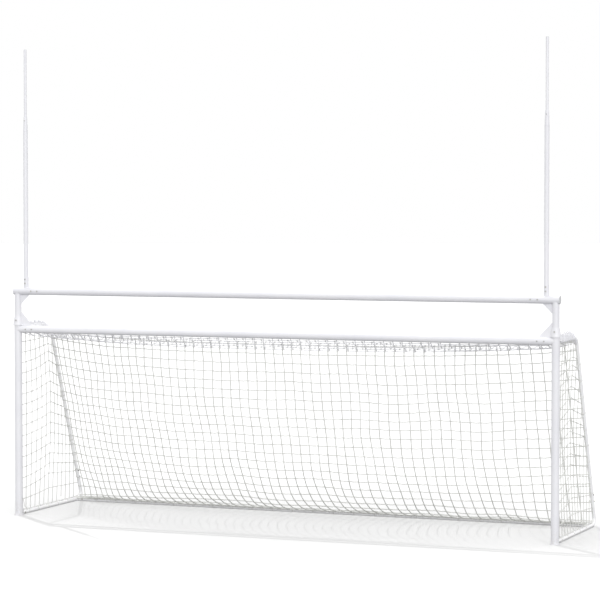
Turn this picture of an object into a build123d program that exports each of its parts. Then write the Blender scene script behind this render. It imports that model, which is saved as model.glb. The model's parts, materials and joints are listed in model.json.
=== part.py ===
"""A full-size combination goal: a soccer goal frame with its net, and a football crossbar with
two uprights that plugs into the tops of its posts.

Millimetres. +X runs along the goal line to the right as seen from the field, +Y runs to the back
of the goal and +Z is up. The origin is on the ground, midway along the goal line and midway
between the front of the foot plates and the back of the side frames.
"""

import os
from math import atan2, cos, hypot, pi, sin, tan

from build123d import *

# Overall sizes
INSIDE_WIDTH = 7315.2  # between the goal posts, 24 ft
CLEAR_HEIGHT = 2438.4  # under the soccer crossbar, 8 ft
FOOTBALL_HEIGHT = 3048.0  # to the top of the football crossbar, 10 ft
OVERALL_HEIGHT = 6200.0  # to the tips of the uprights, a little over 20 ft
UPRIGHT_INSET = 101.6  # the uprights stand this far inside the goal posts, so 23 ft 4 in apart
TOP_DEPTH = 914.4  # goal line to the corner of the side frame at the top, 3 ft
BASE_DEPTH = 1828.8  # goal line to the corner of the side frame at the ground, 6 ft

# Tubes: outside diameter and wall
POST_OD, POST_WALL = 101.6, 3.2
EXTENSION_OD, EXTENSION_WALL = 88.9, 3.2
UPRIGHT_OD, UPRIGHT_WALL = 60.3, 2.9
TIP_OD, TIP_WALL = 38.1, 2.3
STAY_OD, STAY_WALL = 48.3, 2.6

# Fits
FIT = 0.25  # radial gap of a sleeve that is bolted or welded in a tube
RUNNING = 0.1  # radial gap of a tube that slides in another
WELD_GAP = 0.2  # root gap of a coped end
SEAT_GAP = 0.3  # between faces that lift apart

# Feet and brackets
FOOT_RIM, FOOT_THICKNESS = 15.2, 8.0  # the rim is how far the foot plate reaches past the post
ANCHOR_COUNT, ANCHOR_HOLE = 4, 9.0
BRACKET_WIDTH, BRACKET_STAND_OFF, BRACKET_SPIGOT = 70.0, 12.0, 110.0
DEPTH_BRACKET_HEIGHT, RAIL_BRACKET_HEIGHT, REAR_BRACKET_HEIGHT = 96.0, 78.0, 40.0
BRACKET_BITE = 0.6  # where a bracket's block starts, as a share of the radius of its tube
SPIGOT_ROOT = 2.0  # how deep a spigot starts in its block
RAIL_FOOT_GAP = 10.0  # between the foot plate and the front end of a side rail

# Football section
STUB_LENGTH = 265.0  # post centre to the seam with the football crossbar
SLEEVE_LENGTH = 260.0
BOLT_FROM_SEAM = 45.0
END_CAP_THICKNESS, END_CAP_PLUG = 3.0, 14.0
JOINER_DEPTH, JOINER_WALL, JOINER_SHOULDER = 200.0, 6.0, 8.0
COLLAR_HEIGHT, COLLAR_RIM, COLLAR_LIP = 110.0, 15.2, 5.0
COLLAR_SCREW_SHARE = 0.62  # height of the set screw as a share of the collar's
GUSSET_THICKNESS, UPPER_GUSSET_LEG, GUSSET_NOSE = 8.0, 115.0, 8.0
LOWER_GUSSET_RISE, LOWER_GUSSET_RUN = 175.0, 165.0
SOCKET_WALL, SOCKET_HEIGHT, SOCKET_FLOOR = 3.6, 130.0, 5.0
SOCKET_SCREW_SHARES = (0.4, 0.8)

# Uprights
TIP_JOINT_HEIGHT = 5120.0  # top of the lower tube of an upright
REDUCER_CONE, REDUCER_LIP, REDUCER_PLUG = 180.0, 4.0, 100.0
REDUCER_SCREW_SHARE = 0.75
TIP_GUIDE = 30.0
TIP_CAP_DOME, TIP_CAP_PLUG = 9.0, 25.0
TIP_CAP_PROFILE = ((0.93, 0.45), (0.6, 0.85))  # shares of the radius and of the dome's height

# Side frames and rails
TOP_BEND_RADIUS, BOTTOM_BEND_RADIUS = 150.0, 76.0
STAY_JOINT_HEIGHT, STAY_SLEEVE_LENGTH = 380.0, 174.0
REAR_RAIL_SETBACK = 35.0

# Fasteners
BOLT_DIAMETER, BOLT_HOLE, HEAD_ACROSS, HEAD_HEIGHT = 12.0, 13.0, 19.0, 8.0
BOLT_END = 4.0  # how far a bolt stands out of its nut
SMALL_BOLT, SMALL_HOLE, SMALL_ACROSS, SMALL_HEAD = 8.0, 9.0, 13.0, 5.5

# Net
NET_THICKNESS = 4.0
NET_EDGE_GAP = 30.0  # between the net's edge and a tube
NET_GROUND_GAP = 60.0
NET_BAYS = 12
SLACK_POWER = 3  # how quickly the net goes slack away from the side frames
LUG_LENGTH, LUG_WIDTH, LUG_THICKNESS, LUG_HOLE = 22.0, 18.0, 4.0, 10.0
LUG_EYE = 13.2  # from the tube to the middle of a lug's hole
LUG_SPACING, SIDE_LUG_SPACING = 600.0, 300.0
LUG_CORNER_GAP, LUG_BEND_GAP, LUG_JOINT_GAP = 300.0, 200.0, 150.0  # to the nearest lug
CROSSBAR_LUG_ANGLE, REAR_LUG_ANGLE = 0.7, 0.9  # radians below and above level

# Places that follow from the sizes
POST_R = POST_OD / 2
STAY_R = STAY_OD / 2
FOOT_RADIUS = POST_R + FOOT_RIM
ANCHOR_PCD = POST_OD + FOOT_RIM
COLLAR_RADIUS = POST_R + COLLAR_RIM
SOCKET_R = UPRIGHT_OD / 2 + SOCKET_WALL
POST_X = INSIDE_WIDTH / 2 + POST_R
UPRIGHT_X = INSIDE_WIDTH / 2 - UPRIGHT_INSET + UPRIGHT_OD / 2
CROSSBAR_Z = CLEAR_HEIGHT + POST_R
POST_TOP = CROSSBAR_Z + POST_R
FOOTBALL_Z = FOOTBALL_HEIGHT - POST_R
RAIL_Z = STAY_R
STAY_RUN = BASE_DEPTH - TOP_DEPTH
STAY_DROP = CROSSBAR_Z - RAIL_Z
STAY_LEAN = STAY_RUN / STAY_DROP
STAY_ANGLE = atan2(STAY_RUN, STAY_DROP)  # from upright
BOTTOM_TANGENT = BOTTOM_BEND_RADIUS * tan((pi / 2 + STAY_ANGLE) / 2)
BACK_OF_FRAME = BASE_DEPTH - BOTTOM_TANGENT + BOTTOM_BEND_RADIUS + STAY_R
GOAL_LINE = (FOOT_RADIUS - BACK_OF_FRAME) / 2
REAR_RAIL_Y = GOAL_LINE + BASE_DEPTH - BOTTOM_TANGENT - REAR_RAIL_SETBACK
SEAM_X = POST_X - STUB_LENGTH
COLLAR_TOP = POST_TOP + COLLAR_HEIGHT
PASS = 300.0  # reach of a rod that only cuts, so that it goes right through
SIDES = {"left": -1, "right": 1}


def rod(start, end, radius):
    """A solid cylinder from one point to another."""
    start, end = Vector(*start), Vector(*end)
    plane = Plane(origin=start, z_dir=end - start)
    return extrude(plane * Circle(radius), (end - start).length)


def tube(start, end, diameter, wall):
    return rod(start, end, diameter / 2) - rod(start, end, diameter / 2 - wall)


def bent_tube(points, radius, diameter, wall):
    """A tube along straight runs joined by bends of one radius."""
    path = FilletPolyline(*points, radius=radius)
    section = Circle(diameter / 2) - Circle(diameter / 2 - wall)
    return sweep(Plane(origin=path @ 0, z_dir=path % 0) * section, path)


def turned(outline):
    """A solid of revolution about Z, from points of radius and height."""
    face = make_face(Plane.XZ * Polyline(*outline, close=True))
    return revolve(face, Axis.Z)


def plate(outline, thickness, y):
    """A flat plate in the plane of the goal, from points of x and z."""
    face = make_face(Plane.XZ * Polyline(*outline, close=True))
    return Pos(0, y, 0) * extrude(face, thickness / 2, both=True)


def hexagon(centre, direction, across, height):
    plane = Plane(origin=Vector(*centre), z_dir=Vector(*direction))
    return extrude(plane * RegularPolygon(across / 2, 6, major_radius=False), height)


def through_bolt(centre, direction, diameter):
    """A hex bolt through a tube of that diameter, and its nut."""
    centre, along = Vector(*centre), Vector(*direction).normalized()
    seat = along * (diameter / 2 + SEAT_GAP)
    head, tail = centre - seat, centre + seat
    shank_end = tail + along * (HEAD_HEIGHT + BOLT_END)
    bolt = hexagon(head, -along, HEAD_ACROSS, HEAD_HEIGHT) + rod(head, shank_end, BOLT_DIAMETER / 2)
    nut = hexagon(tail, along, HEAD_ACROSS, HEAD_HEIGHT) - rod(tail, shank_end, BOLT_HOLE / 2)
    return [bolt, nut]


def bolt_hole(centre, direction, diameter):
    centre, along = Vector(*centre), Vector(*direction).normalized()
    return rod(centre - along * diameter, centre + along * diameter, BOLT_HOLE / 2)


def screw_hole(x, z, radius, diameter):
    """A hole through the front wall of an upright sleeve of that outer radius."""
    return rod((x, GOAL_LINE - 2 * radius, z), (x, GOAL_LINE, z), diameter / 2)


def set_screw(x, z, tip, face, size, across, head):
    """A hex-headed screw in the front of a sleeve, with its head clear of the outer face.

    tip and face are how far in front of the goal line the screw ends and its head starts.
    """
    head_start = (x, GOAL_LINE - face, z)
    shank = rod((x, GOAL_LINE - tip, z), head_start, size / 2)
    return shank + hexagon(head_start, (0, -1, 0), across, head)


def group(solids):
    return Compound(children=[s for part in solids for s in part.solids()])


def saddle(host, axis, host_radius, out, size, spigot_at):
    """A block that sits against a tube, with a spigot that carries the next tube.

    host is a point on the host tube's axis, level with the middle of the block.
    """
    host, axis, out = Vector(*host), Vector(*axis), Vector(*out)
    width, height = size
    reach = host_radius + BRACKET_STAND_OFF
    bite = host_radius * BRACKET_BITE
    plane = Plane(origin=host + out * bite, x_dir=axis, z_dir=out)
    block = extrude(plane * Rectangle(height, width), reach - bite)
    block -= rod(host - axis * PASS, host + axis * PASS, host_radius + WELD_GAP)
    start = Vector(*spigot_at) + out * (reach - SPIGOT_ROOT)
    spigot = rod(start, start + out * (BRACKET_SPIGOT + SPIGOT_ROOT), STAY_R - STAY_WALL - FIT)
    return block + spigot


def stay_point(height):
    """Where the stay's centre line is at that height, as distances from the goal line."""
    return TOP_DEPTH + (CROSSBAR_Z - height) * STAY_LEAN


def lug(root, out, hole_axis):
    """A net lug: a small plate with an eye, standing on a tube."""
    root, out, hole_axis = Vector(*root), Vector(*out), Vector(*hole_axis)
    plane = Plane(origin=root, x_dir=hole_axis, z_dir=out)
    body = extrude(plane * Rectangle(LUG_THICKNESS, LUG_WIDTH), LUG_LENGTH)
    eye = root + out * LUG_EYE
    return body - rod(eye - hole_axis * LUG_WIDTH, eye + hole_axis * LUG_WIDTH, LUG_HOLE / 2)


def spread(low, high, spacing=LUG_SPACING):
    """Evenly spaced places from low to high, about one spacing apart."""
    steps = max(1, round((high - low) / spacing))
    return [low + (high - low) * i / steps for i in range(steps + 1)]


# Soccer frame ----------------------------------------------------------------------------------


def crossbar_bolt_places(seam, height, sign):
    """The two bolts that hold a sleeve, one each side of a seam across X."""
    return [(sign * (seam + step), GOAL_LINE, height) for step in (-BOLT_FROM_SEAM, BOLT_FROM_SEAM)]


def goal_post(sign):
    x = sign * POST_X
    return tube((x, GOAL_LINE, FOOT_THICKNESS), (x, GOAL_LINE, POST_TOP), POST_OD, POST_WALL)


def foot_plate(sign):
    foot = Vector(sign * POST_X, GOAL_LINE, 0)
    up = Vector(0, 0, FOOT_THICKNESS)
    disc = rod(foot, foot + up, FOOT_RADIUS)
    for i in range(ANCHOR_COUNT):
        turn = (i + 0.5) * 2 * pi / ANCHOR_COUNT
        hole = foot + Vector(cos(turn), sin(turn), 0) * (ANCHOR_PCD / 2)
        disc -= rod(hole - up, hole + up * 2, ANCHOR_HOLE / 2)
    return disc


SPIGOT_BOLT_X = INSIDE_WIDTH / 2 - SLEEVE_LENGTH / 2


def crossbar_spigot(sign):
    """The sleeve on a post that the soccer crossbar slides over."""
    sleeve = tube(
        (sign * (POST_X - SLEEVE_LENGTH - POST_R), GOAL_LINE, CROSSBAR_Z),
        (sign * POST_X, GOAL_LINE, CROSSBAR_Z),
        POST_OD - 2 * POST_WALL - 2 * FIT,
        POST_WALL,
    )
    sleeve -= rod((sign * POST_X, GOAL_LINE, 0), (sign * POST_X, GOAL_LINE, POST_TOP * 2), POST_R + WELD_GAP)
    for place in crossbar_bolt_places(SPIGOT_BOLT_X, CROSSBAR_Z, sign):
        sleeve -= bolt_hole(place, (0, 1, 0), POST_OD)
    return sleeve


def soccer_crossbar():
    bar = tube((-POST_X, GOAL_LINE, CROSSBAR_Z), (POST_X, GOAL_LINE, CROSSBAR_Z), POST_OD, POST_WALL)
    for sign in SIDES.values():
        bar -= rod((sign * POST_X, GOAL_LINE, 0), (sign * POST_X, GOAL_LINE, POST_TOP * 2), POST_R + WELD_GAP)
        for place in crossbar_bolt_places(SPIGOT_BOLT_X, CROSSBAR_Z, sign):
            bar -= bolt_hole(place, (0, 1, 0), POST_OD)
    return bar


def crossbar_bolts():
    return group(
        part
        for sign in SIDES.values()
        for place in crossbar_bolt_places(SPIGOT_BOLT_X, CROSSBAR_Z, sign)
        for part in through_bolt(place, (0, 1, 0), POST_OD)
    )


TUBE_FRONT = GOAL_LINE + POST_R + BRACKET_STAND_OFF + WELD_GAP  # front end of a side frame's tube
DEPTH_BOLT_Y = TUBE_FRONT + BRACKET_SPIGOT / 2
RAIL_BRACKET_Z = FOOT_THICKNESS + SEAT_GAP + RAIL_BRACKET_HEIGHT / 2
STAY_DIRECTION = Vector(0, sin(STAY_ANGLE), -cos(STAY_ANGLE))


def on_stay(sign, height):
    return Vector(sign * POST_X, GOAL_LINE + stay_point(height), height)


def stay_bolt_places(sign):
    joint = on_stay(sign, STAY_JOINT_HEIGHT)
    return [joint + STAY_DIRECTION * step for step in (-BOLT_FROM_SEAM, BOLT_FROM_SEAM)]


def depth_bracket(sign):
    centre = (sign * POST_X, GOAL_LINE, CROSSBAR_Z)
    size = (BRACKET_WIDTH, DEPTH_BRACKET_HEIGHT)
    bracket = saddle(centre, (0, 0, 1), POST_R, (0, 1, 0), size, centre)
    bracket -= rod((0, GOAL_LINE, CROSSBAR_Z), centre, POST_R + WELD_GAP)
    return bracket - bolt_hole((sign * POST_X, DEPTH_BOLT_Y, CROSSBAR_Z), (1, 0, 0), STAY_OD)


def rail_bracket(sign):
    bracket = saddle(
        (sign * POST_X, GOAL_LINE, RAIL_BRACKET_Z),
        (0, 0, 1),
        POST_R,
        (0, 1, 0),
        (BRACKET_WIDTH, RAIL_BRACKET_HEIGHT),
        (sign * POST_X, GOAL_LINE, RAIL_Z),
    )
    foot = (sign * POST_X, GOAL_LINE, 0)
    bracket -= rod(foot, (sign * POST_X, GOAL_LINE, FOOT_THICKNESS + SEAT_GAP), FOOT_RADIUS + SEAT_GAP)
    return bracket - bolt_hole((sign * POST_X, DEPTH_BOLT_Y, RAIL_Z), (1, 0, 0), STAY_OD)


def back_stay(sign):
    """Depth bar and upper stay, one bent tube."""
    x = sign * POST_X
    points = [
        (x, TUBE_FRONT, CROSSBAR_Z),
        (x, GOAL_LINE + TOP_DEPTH, CROSSBAR_Z),
        tuple(on_stay(sign, STAY_JOINT_HEIGHT + WELD_GAP)),
    ]
    stay = bent_tube(points, TOP_BEND_RADIUS, STAY_OD, STAY_WALL)
    stay -= bolt_hole((x, DEPTH_BOLT_Y, CROSSBAR_Z), (1, 0, 0), STAY_OD)
    return stay - bolt_hole(stay_bolt_places(sign)[0], (1, 0, 0), STAY_OD)


def side_rail(sign):
    """Lower end of the stay and the ground rail, one bent tube."""
    x = sign * POST_X
    points = [
        tuple(on_stay(sign, STAY_JOINT_HEIGHT - WELD_GAP)),
        (x, GOAL_LINE + BASE_DEPTH, RAIL_Z),
        (x, GOAL_LINE + FOOT_RADIUS + RAIL_FOOT_GAP, RAIL_Z),
    ]
    rail = bent_tube(points, BOTTOM_BEND_RADIUS, STAY_OD, STAY_WALL)
    rail -= bolt_hole((x, DEPTH_BOLT_Y, RAIL_Z), (1, 0, 0), STAY_OD)
    return rail - bolt_hole(stay_bolt_places(sign)[1], (1, 0, 0), STAY_OD)


def stay_sleeve(sign):
    """The sleeve inside the joint of a stay."""
    joint = on_stay(sign, STAY_JOINT_HEIGHT)
    half = STAY_DIRECTION * (STAY_SLEEVE_LENGTH / 2)
    sleeve = tube(joint - half, joint + half, STAY_OD - 2 * STAY_WALL - 2 * FIT, STAY_WALL)
    for place in stay_bolt_places(sign):
        sleeve -= bolt_hole(place, (1, 0, 0), STAY_OD)
    return sleeve


REAR_TUBE_END = POST_X - STAY_R - BRACKET_STAND_OFF - WELD_GAP
REAR_BOLT_X = REAR_TUBE_END - BRACKET_SPIGOT / 2


def rear_bracket(sign):
    """Joins the rear rail to the inner side of a side rail."""
    centre = (sign * POST_X, REAR_RAIL_Y, RAIL_Z)
    size = (REAR_BRACKET_HEIGHT, BRACKET_WIDTH)
    bracket = saddle(centre, (0, 1, 0), STAY_R, (-sign, 0, 0), size, centre)
    return bracket - bolt_hole((sign * REAR_BOLT_X, REAR_RAIL_Y, RAIL_Z), (0, 1, 0), STAY_OD)


def rear_rail():
    start, end = (-REAR_TUBE_END, REAR_RAIL_Y, RAIL_Z), (REAR_TUBE_END, REAR_RAIL_Y, RAIL_Z)
    rail = tube(start, end, STAY_OD, STAY_WALL)
    for sign in SIDES.values():
        rail -= bolt_hole((sign * REAR_BOLT_X, REAR_RAIL_Y, RAIL_Z), (0, 1, 0), STAY_OD)
    return rail


def frame_bolts():
    places = []
    for sign in SIDES.values():
        x = sign * POST_X
        outward = (-sign, 0, 0)
        places += [((x, DEPTH_BOLT_Y, CROSSBAR_Z), outward), ((x, DEPTH_BOLT_Y, RAIL_Z), outward)]
        places += [(tuple(place), outward) for place in stay_bolt_places(sign)]
        places.append(((sign * REAR_BOLT_X, REAR_RAIL_Y, RAIL_Z), (0, 1, 0)))
    return group(part for place, along in places for part in through_bolt(place, along, STAY_OD))


# Net and its lugs ------------------------------------------------------------------------------


def crossbar_lugs():
    out = Vector(0, cos(CROSSBAR_LUG_ANGLE), -sin(CROSSBAR_LUG_ANGLE))
    reach = INSIDE_WIDTH / 2 - SLEEVE_LENGTH
    root = Vector(0, GOAL_LINE, CROSSBAR_Z) + out * POST_R
    return group(lug(root + Vector(x, 0, 0), out, (1, 0, 0)) for x in spread(-reach, reach))


def side_lugs(sign):
    """Lugs along the post, the depth bar, the stay and the side rail of one side."""
    x = sign * POST_X
    forward = Vector(0, -cos(STAY_ANGLE), -sin(STAY_ANGLE))
    front = GOAL_LINE + LUG_CORNER_GAP
    post = spread(LUG_JOINT_GAP, CROSSBAR_Z - LUG_CORNER_GAP, LUG_SPACING)
    depth = spread(front, GOAL_LINE + TOP_DEPTH - LUG_BEND_GAP, SIDE_LUG_SPACING)
    low, high = STAY_JOINT_HEIGHT + LUG_JOINT_GAP, CROSSBAR_Z - 2 * LUG_BEND_GAP
    stay = spread(low, high, SIDE_LUG_SPACING)
    rail = spread(front, REAR_RAIL_Y - LUG_JOINT_GAP, SIDE_LUG_SPACING)
    lugs = [lug((x, GOAL_LINE + POST_R, z), (0, 1, 0), (0, 0, 1)) for z in post]
    lugs += [lug((x, y, CROSSBAR_Z - STAY_R), (0, 0, -1), (0, 1, 0)) for y in depth]
    lugs += [lug(on_stay(sign, z) + forward * STAY_R, forward, STAY_DIRECTION) for z in stay]
    lugs += [lug((x, y, RAIL_Z + STAY_R), (0, 0, 1), (0, 1, 0)) for y in rail]
    return group(lugs)


def rear_lugs():
    out = Vector(0, -cos(REAR_LUG_ANGLE), sin(REAR_LUG_ANGLE))
    root = Vector(0, REAR_RAIL_Y, RAIL_Z) + out * STAY_R
    reach = INSIDE_WIDTH / 2 - SLEEVE_LENGTH
    return group(lug(root + Vector(x, 0, 0), out, (1, 0, 0)) for x in spread(-reach, reach))


def side_net(sign):
    """The flat side of the net, inside its frame of tubes."""
    inset = STAY_R + NET_EDGE_GAP
    lean = inset / cos(STAY_ANGLE)
    front, top, bottom = POST_R + NET_EDGE_GAP, CROSSBAR_Z - inset, RAIL_Z + inset
    outline = [
        (GOAL_LINE + front, bottom),
        (GOAL_LINE + front, top),
        (GOAL_LINE + stay_point(top) - lean, top),
        (GOAL_LINE + stay_point(bottom) - lean, bottom),
    ]
    face = make_face(Plane.YZ * Polyline(*outline, close=True))
    return Pos(sign * POST_X, 0, 0) * extrude(face, NET_THICKNESS / 2, both=True)


# Shares of the depth and of the drop along the net's line, where tubes hold it and where it hangs
HELD_TOP_SHARES = (0, 0.36, 0.72, 1)
HELD_BACK_SHARES = (0.2, 0.4, 0.6, 0.8, 1)
HUNG_SHARES = (
    (0, 0), (0.035, 0.17), (0.085, 0.34), (0.15, 0.51), (0.24, 0.67),
    (0.345, 0.79), (0.49, 0.885), (0.7, 0.95), (1, 1),
)


def net_profile(slack):
    """The line that the top and back of the net follow from crossbar to rear rail.

    slack is 0 beside a side frame, where the tubes hold the net up, and 1 at mid span, where
    nothing does and it hangs as a curtain.
    """
    front, top = POST_R + NET_EDGE_GAP, CROSSBAR_Z - STAY_R - NET_EDGE_GAP
    rear = REAR_RAIL_Y - GOAL_LINE - STAY_R - NET_EDGE_GAP
    drop, depth = top - NET_GROUND_GAP, rear - front
    shoulder = TOP_DEPTH - front
    lean = (rear - TOP_DEPTH) / drop
    held = [(shoulder * s, 0.0) for s in HELD_TOP_SHARES]
    held += [(shoulder + lean * drop * s, drop * s) for s in HELD_BACK_SHARES]
    hung = [(depth * a, drop * b) for a, b in HUNG_SHARES]
    return [
        (front + (1 - slack) * a + slack * c, top - (1 - slack) * b - slack * d)
        for (a, b), (c, d) in zip(held, hung, strict=True)
    ]


def back_net():
    """Top and back of the net in one sheet, slung between crossbar, side frames and rear rail."""
    edge = POST_X - STAY_R - NET_EDGE_GAP
    sections = []
    for i in range(NET_BAYS + 1):
        share = -cos(pi * i / NET_BAYS)
        line = net_profile(1 - abs(share) ** SLACK_POWER)
        backs = []
        for k, (y, z) in enumerate(line):
            before, after = line[max(k - 1, 0)], line[min(k + 1, len(line) - 1)]
            run = hypot(after[0] - before[0], after[1] - before[1])
            normal = ((before[1] - after[1]) / run, (after[0] - before[0]) / run)
            backs.append((y + normal[0] * NET_THICKNESS, z + normal[1] * NET_THICKNESS))
        outline = [(share * edge, GOAL_LINE + y, z) for y, z in line + backs[::-1]]
        sections.append(make_face(Polyline(*outline, close=True)))
    return loft(sections, ruled=True)


# Football section ------------------------------------------------------------------------------


def post_joiner(sign):
    """Plug and collar that carry an extension post on top of a goal post."""
    plug_r = POST_R - POST_WALL - RUNNING
    bore_r = EXTENSION_OD / 2 + FIT
    base = POST_TOP + SEAT_GAP
    outline = [
        (plug_r - JOINER_WALL, POST_TOP - JOINER_DEPTH),
        (plug_r, POST_TOP - JOINER_DEPTH),
        (plug_r, base),
        (COLLAR_RADIUS, base),
        (COLLAR_RADIUS, base + JOINER_SHOULDER),
        (bore_r + COLLAR_LIP, COLLAR_TOP),
        (bore_r, COLLAR_TOP),
        (bore_r, base + JOINER_SHOULDER),
        (plug_r - JOINER_WALL, base + JOINER_SHOULDER),
    ]
    joiner = Pos(sign * POST_X, GOAL_LINE, 0) * turned(outline)
    return joiner - screw_hole(sign * POST_X, COLLAR_SCREW_Z, COLLAR_RADIUS, BOLT_HOLE)


COLLAR_SCREW_Z = POST_TOP + COLLAR_SCREW_SHARE * COLLAR_HEIGHT


def upper_corner(sign):
    """Extension post and crossbar stub, welded into one corner."""
    x = sign * POST_X
    outer = sign * (POST_X + POST_R)
    stub_start, stub_end = (outer, GOAL_LINE, FOOTBALL_Z), (sign * SEAM_X, GOAL_LINE, FOOTBALL_Z)
    foot = (x, GOAL_LINE, POST_TOP + SEAT_GAP + JOINER_SHOULDER + WELD_GAP)
    leg = tube(foot, (x, GOAL_LINE, FOOTBALL_Z), EXTENSION_OD, EXTENSION_WALL)
    leg -= rod(stub_start, stub_end, POST_R)
    stub = tube(stub_start, stub_end, POST_OD, POST_WALL)
    corner = leg + stub
    return corner - bolt_hole(crossbar_bolt_places(SEAM_X, FOOTBALL_Z, sign)[1], (0, 1, 0), POST_OD)


def upper_end_cap(sign):
    end, out = Vector(sign * (POST_X + POST_R), GOAL_LINE, FOOTBALL_Z), Vector(sign, 0, 0)
    disc = rod(end, end + out * END_CAP_THICKNESS, POST_R)
    return disc + rod(end - out * END_CAP_PLUG, end, POST_R - POST_WALL - FIT)


def upper_gusset(sign):
    """Triangular web in the corner under the football crossbar."""
    side = sign * (POST_X - EXTENSION_OD / 2 - WELD_GAP)
    under = FOOTBALL_Z - POST_R - WELD_GAP
    reach = side - sign * UPPER_GUSSET_LEG
    foot = under - UPPER_GUSSET_LEG
    outline = [(side, under), (reach, under), (reach, under - GUSSET_NOSE)]
    outline += [(side - sign * GUSSET_NOSE, foot), (side, foot)]
    return plate(outline, GUSSET_THICKNESS, GOAL_LINE)


def lower_gusset(sign):
    """Web between a collar and the top of the soccer crossbar."""
    x, base = sign * POST_X, POST_TOP + SEAT_GAP
    side = x - sign * EXTENSION_OD / 2
    top, reach = base + LOWER_GUSSET_RISE, side - sign * LOWER_GUSSET_RUN
    outline = [(side, base), (side, top), (side - sign * GUSSET_NOSE, top)]
    outline += [(reach, base + GUSSET_NOSE), (reach, base)]
    web = plate(outline, GUSSET_THICKNESS, GOAL_LINE)
    lip = EXTENSION_OD / 2 + FIT + COLLAR_LIP + WELD_GAP
    collar = turned([
        (0, base - WELD_GAP),
        (COLLAR_RADIUS + WELD_GAP, base - WELD_GAP),
        (COLLAR_RADIUS + WELD_GAP, base + JOINER_SHOULDER),
        (lip, COLLAR_TOP),
        (lip, COLLAR_TOP + WELD_GAP),
        (EXTENSION_OD / 2 + WELD_GAP, COLLAR_TOP + WELD_GAP),
        (EXTENSION_OD / 2 + WELD_GAP, base + 2 * LOWER_GUSSET_RISE),
        (0, base + 2 * LOWER_GUSSET_RISE),
    ])
    return web - Pos(x, GOAL_LINE, 0) * collar


def upper_spigot(sign):
    """The sleeve inside the seam of the football crossbar."""
    sleeve = tube(
        (sign * (SEAM_X - SLEEVE_LENGTH / 2), GOAL_LINE, FOOTBALL_Z),
        (sign * (SEAM_X + SLEEVE_LENGTH / 2), GOAL_LINE, FOOTBALL_Z),
        POST_OD - 2 * POST_WALL - 2 * FIT,
        POST_WALL,
    )
    for place in crossbar_bolt_places(SEAM_X, FOOTBALL_Z, sign):
        sleeve -= bolt_hole(place, (0, 1, 0), POST_OD)
    return sleeve


def football_crossbar():
    end = SEAM_X - WELD_GAP
    bar = tube((-end, GOAL_LINE, FOOTBALL_Z), (end, GOAL_LINE, FOOTBALL_Z), POST_OD, POST_WALL)
    for sign in SIDES.values():
        bar -= bolt_hole(crossbar_bolt_places(SEAM_X, FOOTBALL_Z, sign)[0], (0, 1, 0), POST_OD)
    return bar


def football_bolts():
    return group(
        part
        for sign in SIDES.values()
        for place in crossbar_bolt_places(SEAM_X, FOOTBALL_Z, sign)
        for part in through_bolt(place, (0, 1, 0), POST_OD)
    )


SOCKET_SCREW_HEIGHTS = [FOOTBALL_HEIGHT + share * SOCKET_HEIGHT for share in SOCKET_SCREW_SHARES]


def upright_socket(sign):
    """The sleeve on the football crossbar that an upright drops into."""
    x = sign * UPRIGHT_X
    top = FOOTBALL_HEIGHT + SOCKET_HEIGHT
    foot, along = Vector(x, GOAL_LINE, FOOTBALL_Z), Vector(PASS, 0, 0)
    socket = rod(foot, (x, GOAL_LINE, top), SOCKET_R)
    socket -= rod(foot - along, foot + along, POST_R + WELD_GAP)
    floor = (x, GOAL_LINE, FOOTBALL_HEIGHT + SOCKET_FLOOR)
    socket -= rod(floor, (x, GOAL_LINE, top + PASS), UPRIGHT_OD / 2 + RUNNING)
    for z in SOCKET_SCREW_HEIGHTS:
        socket -= screw_hole(x, z, SOCKET_R, BOLT_HOLE)
    return socket


def socket_screws():
    tip, face = UPRIGHT_OD / 2 + SEAT_GAP, SOCKET_R + SEAT_GAP
    return group(
        set_screw(x, z, tip, face, BOLT_DIAMETER, HEAD_ACROSS, HEAD_HEIGHT)
        for x in (-UPRIGHT_X, UPRIGHT_X)
        for z in SOCKET_SCREW_HEIGHTS
    )


def collar_screws():
    tip = EXTENSION_OD / 2 + SEAT_GAP
    return group(
        set_screw(x, COLLAR_SCREW_Z, tip, COLLAR_RADIUS, BOLT_DIAMETER, HEAD_ACROSS, HEAD_HEIGHT)
        for x in (-POST_X, POST_X)
    )


# Uprights --------------------------------------------------------------------------------------

LOWER_BORE = UPRIGHT_OD / 2 - UPRIGHT_WALL
TIP_FOOT = TIP_JOINT_HEIGHT - REDUCER_PLUG - TIP_GUIDE - SEAT_GAP
TIP_TOP = OVERALL_HEIGHT - TIP_CAP_DOME
REDUCER_SCREW_Z = TIP_JOINT_HEIGHT + REDUCER_SCREW_SHARE * REDUCER_CONE


def upright_tube(sign):
    x = sign * UPRIGHT_X
    foot = FOOTBALL_HEIGHT + SOCKET_FLOOR + SEAT_GAP
    return tube((x, GOAL_LINE, foot), (x, GOAL_LINE, TIP_JOINT_HEIGHT), UPRIGHT_OD, UPRIGHT_WALL)


def upright_reducer(sign):
    """The swaged neck that the tip of an upright slides in."""
    bore = TIP_OD / 2 + RUNNING
    base = TIP_JOINT_HEIGHT + WELD_GAP
    outline = [
        (bore, TIP_JOINT_HEIGHT - REDUCER_PLUG),
        (LOWER_BORE - FIT, TIP_JOINT_HEIGHT - REDUCER_PLUG),
        (LOWER_BORE - FIT, base),
        (UPRIGHT_OD / 2, base),
        (bore + REDUCER_LIP, TIP_JOINT_HEIGHT + REDUCER_CONE),
        (bore, TIP_JOINT_HEIGHT + REDUCER_CONE),
    ]
    neck = Pos(sign * UPRIGHT_X, GOAL_LINE, 0) * turned(outline)
    return neck - screw_hole(sign * UPRIGHT_X, REDUCER_SCREW_Z, UPRIGHT_OD / 2, SMALL_HOLE)


def reducer_screw(sign):
    tip, face = TIP_OD / 2 + SEAT_GAP, UPRIGHT_OD / 2
    place = (sign * UPRIGHT_X, REDUCER_SCREW_Z)
    return set_screw(*place, tip, face, SMALL_BOLT, SMALL_ACROSS, SMALL_HEAD)


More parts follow.
